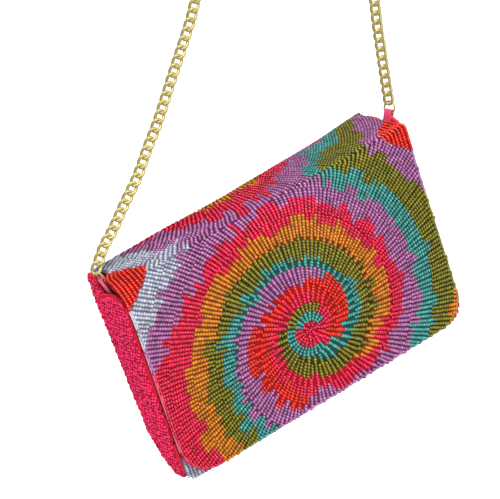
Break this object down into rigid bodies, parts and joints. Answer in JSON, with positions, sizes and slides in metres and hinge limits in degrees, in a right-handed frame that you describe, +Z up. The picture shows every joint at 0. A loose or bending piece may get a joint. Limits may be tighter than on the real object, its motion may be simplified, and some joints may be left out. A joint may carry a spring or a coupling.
{
  "type": "box crossbody bag",
  "caption": "Small beaded box bag with a flap down its whole front, beaded side gussets and a flat curb chain that it hangs from.",
  "frame": {"origin": "hang point inside the top of the chain's loop, where a hook, hand or shoulder carries the bag", "axes": "+Z up, +X to the bag's right as seen from the front, front face to -Y"},
  "size_m": [0.2406, 0.0476, 0.675],
  "materials": {
    "swirl_beads": "opaque glossy seed beads in many colours, sewn in rows on stiffened cloth",
    "pink_beads": "opaque glossy hot pink seed beads, sewn all over stiffened cloth",
    "pink_satin": "soft satin ribbon",
    "gold": "polished pale gold plating"
  },
  "bodies": {
    "root": {"flap": "swirl_beads", "front_panel": "swirl_beads", "back_panel": "swirl_beads", "gusset_left": "pink_beads", "gusset_right": "pink_beads", "tab_left": "pink_satin", "tab_right": "pink_satin", "ring_left": "gold", "ring_right": "gold", "chain": "gold"}
  },
  "joints": []
}
